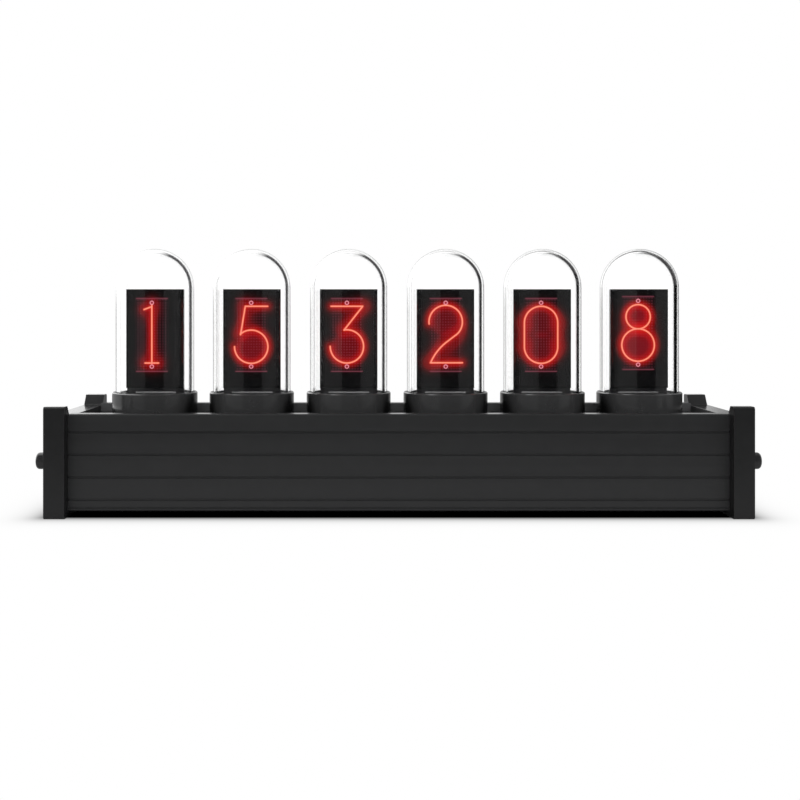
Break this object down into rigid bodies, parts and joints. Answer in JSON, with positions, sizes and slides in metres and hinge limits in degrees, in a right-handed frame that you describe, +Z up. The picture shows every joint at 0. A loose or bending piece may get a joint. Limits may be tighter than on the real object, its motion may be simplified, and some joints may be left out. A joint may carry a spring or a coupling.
{
  "type": "nixie-style digital clock",
  "caption": "Desk clock with upright numeral displays under domed glass tubes on a long grooved black body with eared end plates, rear push buttons and a power inlet.",
  "frame": {"origin": "on the table under the middle of the body", "axes": "+X along the body to the right as seen from the front, +Y to the rear, +Z up along the tubes"},
  "size_m": [0.2114, 0.0524, 0.0791],
  "materials": {
    "tube_glass": "clear, thin blown glass",
    "collar_plastic": "black, satin moulded",
    "display_face": "black, glossy, lit numerals",
    "carrier_board": "black solder mask",
    "wall_metal": "black anodised, satin",
    "end_plate": "black, fine moulded texture",
    "deck_plastic": "black, satin",
    "button_plastic": "black, satin",
    "switch_plastic": "black moulded",
    "main_board": "dark solder mask",
    "brass": "turned",
    "plated_steel": "nickel plated",
    "black_screw": "black oxide"
  },
  "bodies": {
    "clock_body": {"glass_tube_1": "tube_glass", "tube_collar_1": "collar_plastic", "display_panel_1": "display_face", "display_board_1": "carrier_board", "glass_tube_2": "tube_glass", "tube_collar_2": "collar_plastic", "display_panel_2": "display_face", "display_board_2": "carrier_board", "glass_tube_3": "tube_glass", "tube_collar_3": "collar_plastic", "display_panel_3": "display_face", "display_board_3": "carrier_board", "glass_tube_4": "tube_glass", "tube_collar_4": "collar_plastic", "display_panel_4": "display_face", "display_board_4": "carrier_board", "glass_tube_5": "tube_glass", "tube_collar_5": "collar_plastic", "display_panel_5": "display_face", "display_board_5": "carrier_board", "glass_tube_6": "tube_glass", "tube_collar_6": "collar_plastic", "display_panel_6": "display_face", "display_board_6": "carrier_board", "front_wall": "wall_metal", "rear_wall": "wall_metal", "left_end_plate": "end_plate", "right_end_plate": "end_plate", "deck_plate": "deck_plastic", "base_plate": "deck_plastic", "main_board": "main_board", "display_sockets": "switch_plastic", "standoffs": "brass", "controller_board": "main_board", "controller_shield": "plated_steel", "battery_holder": "switch_plastic", "clock_battery": "plated_steel", "board_chips": "switch_plastic", "usb_shell": "plated_steel", "usb_tongue": "switch_plastic", "switch_housings": "switch_plastic", "end_screws": "black_screw", "base_screws": "black_screw", "board_screws": "plated_steel", "collar_screws": "plated_steel"},
    "button_1": {"button_cap_1": "button_plastic", "switch_plunger_1": "switch_plastic"},
    "button_2": {"button_cap_2": "button_plastic", "switch_plunger_2": "switch_plastic"},
    "button_3": {"button_cap_3": "button_plastic", "switch_plunger_3": "switch_plastic"},
    "button_4": {"button_cap_4": "button_plastic", "switch_plunger_4": "switch_plastic"}
  },
  "joints": [
    {"name": "button_1_press", "type": "slide", "parent": "clock_body", "child": "button_1", "axis": [0, -1, 0], "range_m": [0, 0.0005], "stiffness_N_per_m": 3000},
    {"name": "button_2_press", "type": "slide", "parent": "clock_body", "child": "button_2", "axis": [0, -1, 0], "range_m": [0, 0.0005], "stiffness_N_per_m": 3000},
    {"name": "button_3_press", "type": "slide", "parent": "clock_body", "child": "button_3", "axis": [0, -1, 0], "range_m": [0, 0.0005], "stiffness_N_per_m": 3000},
    {"name": "button_4_press", "type": "slide", "parent": "clock_body", "child": "button_4", "axis": [0, -1, 0], "range_m": [0, 0.0005], "stiffness_N_per_m": 3000}
  ]
}
